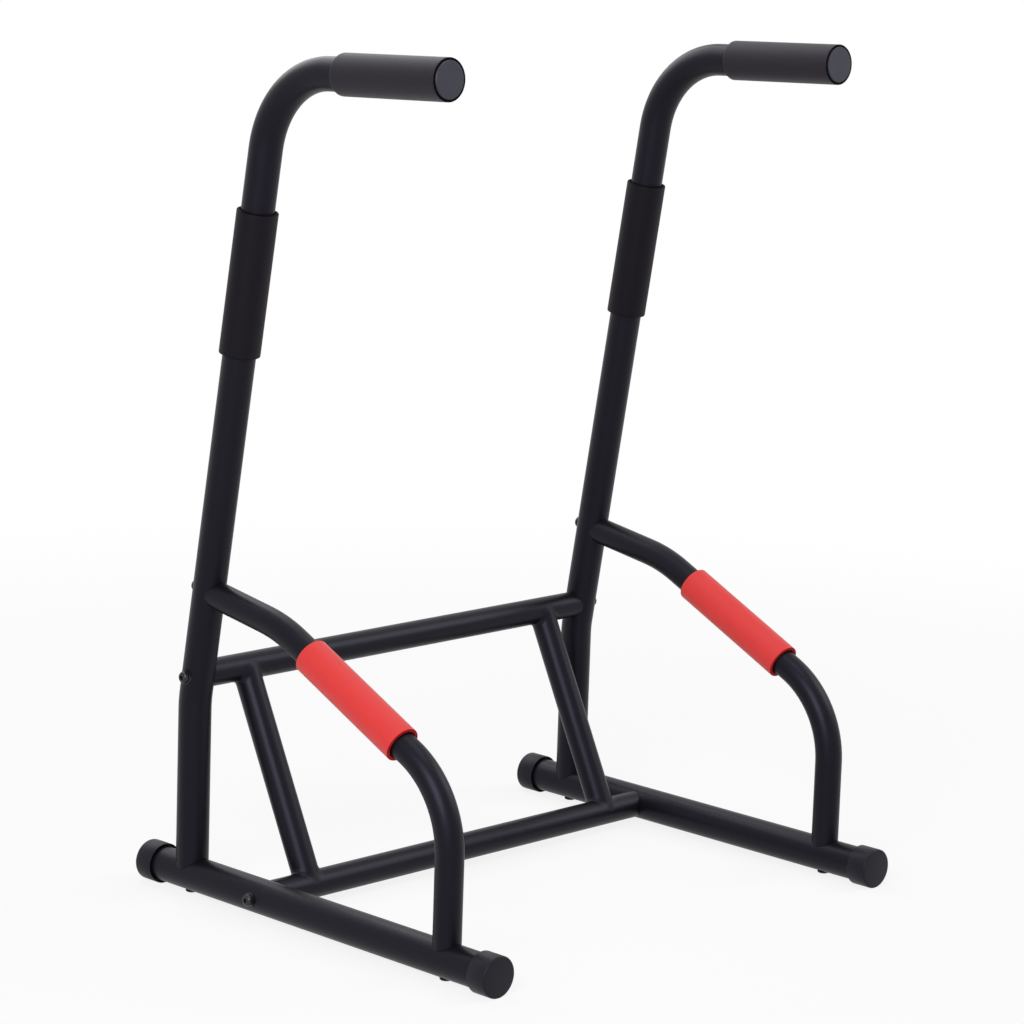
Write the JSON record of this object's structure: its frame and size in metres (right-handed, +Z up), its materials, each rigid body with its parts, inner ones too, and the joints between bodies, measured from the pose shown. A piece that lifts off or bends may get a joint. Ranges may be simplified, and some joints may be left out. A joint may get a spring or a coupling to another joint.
{
  "type": "dip station",
  "caption": "Free-standing dip station: bent tube side frames with foam-covered handles and low push-up bars, joined by braced crossbars.",
  "frame": {"origin": "on the floor, at the middle of the box that holds the whole stand", "axes": "+Z up, -Y the front that the handles point to, +X from the left side frame to the right one, where left is the nearer frame in the picture"},
  "size_m": [0.688, 0.574, 0.9884],
  "materials": {
    "frame_paint": "satin black powder coat with a fine grain",
    "black_foam": "matt closed-cell foam",
    "red_foam": "matt closed-cell foam",
    "cap_rubber": "moulded, matt",
    "plug_plastic": "moulded, satin",
    "black_steel": "black oxide",
    "zinc_steel": "zinc plated"
  },
  "bodies": {
    "root": {"left_base_tube": "frame_paint", "left_upright": "frame_paint", "left_push_up_bar": "frame_paint", "left_rear_foot_cap": "cap_rubber", "left_front_foot_cap": "cap_rubber", "left_handle_end_plug": "plug_plastic", "left_handle_grip": "black_foam", "left_upright_grip": "black_foam", "left_push_up_grip": "red_foam", "left_upper_crossbar_bolt": "black_steel", "left_upper_crossbar_threaded_plate": "zinc_steel", "left_upper_crossbar_washer": "black_steel", "left_lower_crossbar_bolt": "black_steel", "left_lower_crossbar_threaded_plate": "zinc_steel", "left_lower_crossbar_washer": "black_steel", "left_push_up_bar_top_bolt": "black_steel", "left_push_up_bar_top_threaded_plate": "zinc_steel", "left_push_up_bar_top_washer": "black_steel", "left_push_up_bar_foot_bolt": "black_steel", "left_push_up_bar_foot_threaded_plate": "zinc_steel", "left_upright_foot_bolt": "black_steel", "left_upright_foot_threaded_plate": "zinc_steel", "left_strut": "frame_paint", "right_base_tube": "frame_paint", "right_upright": "frame_paint", "right_push_up_bar": "frame_paint", "right_rear_foot_cap": "cap_rubber", "right_front_foot_cap": "cap_rubber", "right_handle_end_plug": "plug_plastic", "right_handle_grip": "black_foam", "right_upright_grip": "black_foam", "right_push_up_grip": "red_foam", "right_upper_crossbar_bolt": "black_steel", "right_upper_crossbar_threaded_plate": "zinc_steel", "right_upper_crossbar_washer": "black_steel", "right_lower_crossbar_bolt": "black_steel", "right_lower_crossbar_threaded_plate": "zinc_steel", "right_lower_crossbar_washer": "black_steel", "right_push_up_bar_top_bolt": "black_steel", "right_push_up_bar_top_threaded_plate": "zinc_steel", "right_push_up_bar_top_washer": "black_steel", "right_push_up_bar_foot_bolt": "black_steel", "right_push_up_bar_foot_threaded_plate": "zinc_steel", "right_upright_foot_bolt": "black_steel", "right_upright_foot_threaded_plate": "zinc_steel", "right_strut": "frame_paint", "upper_crossbar": "frame_paint", "lower_crossbar": "frame_paint"}
  },
  "joints": []
}
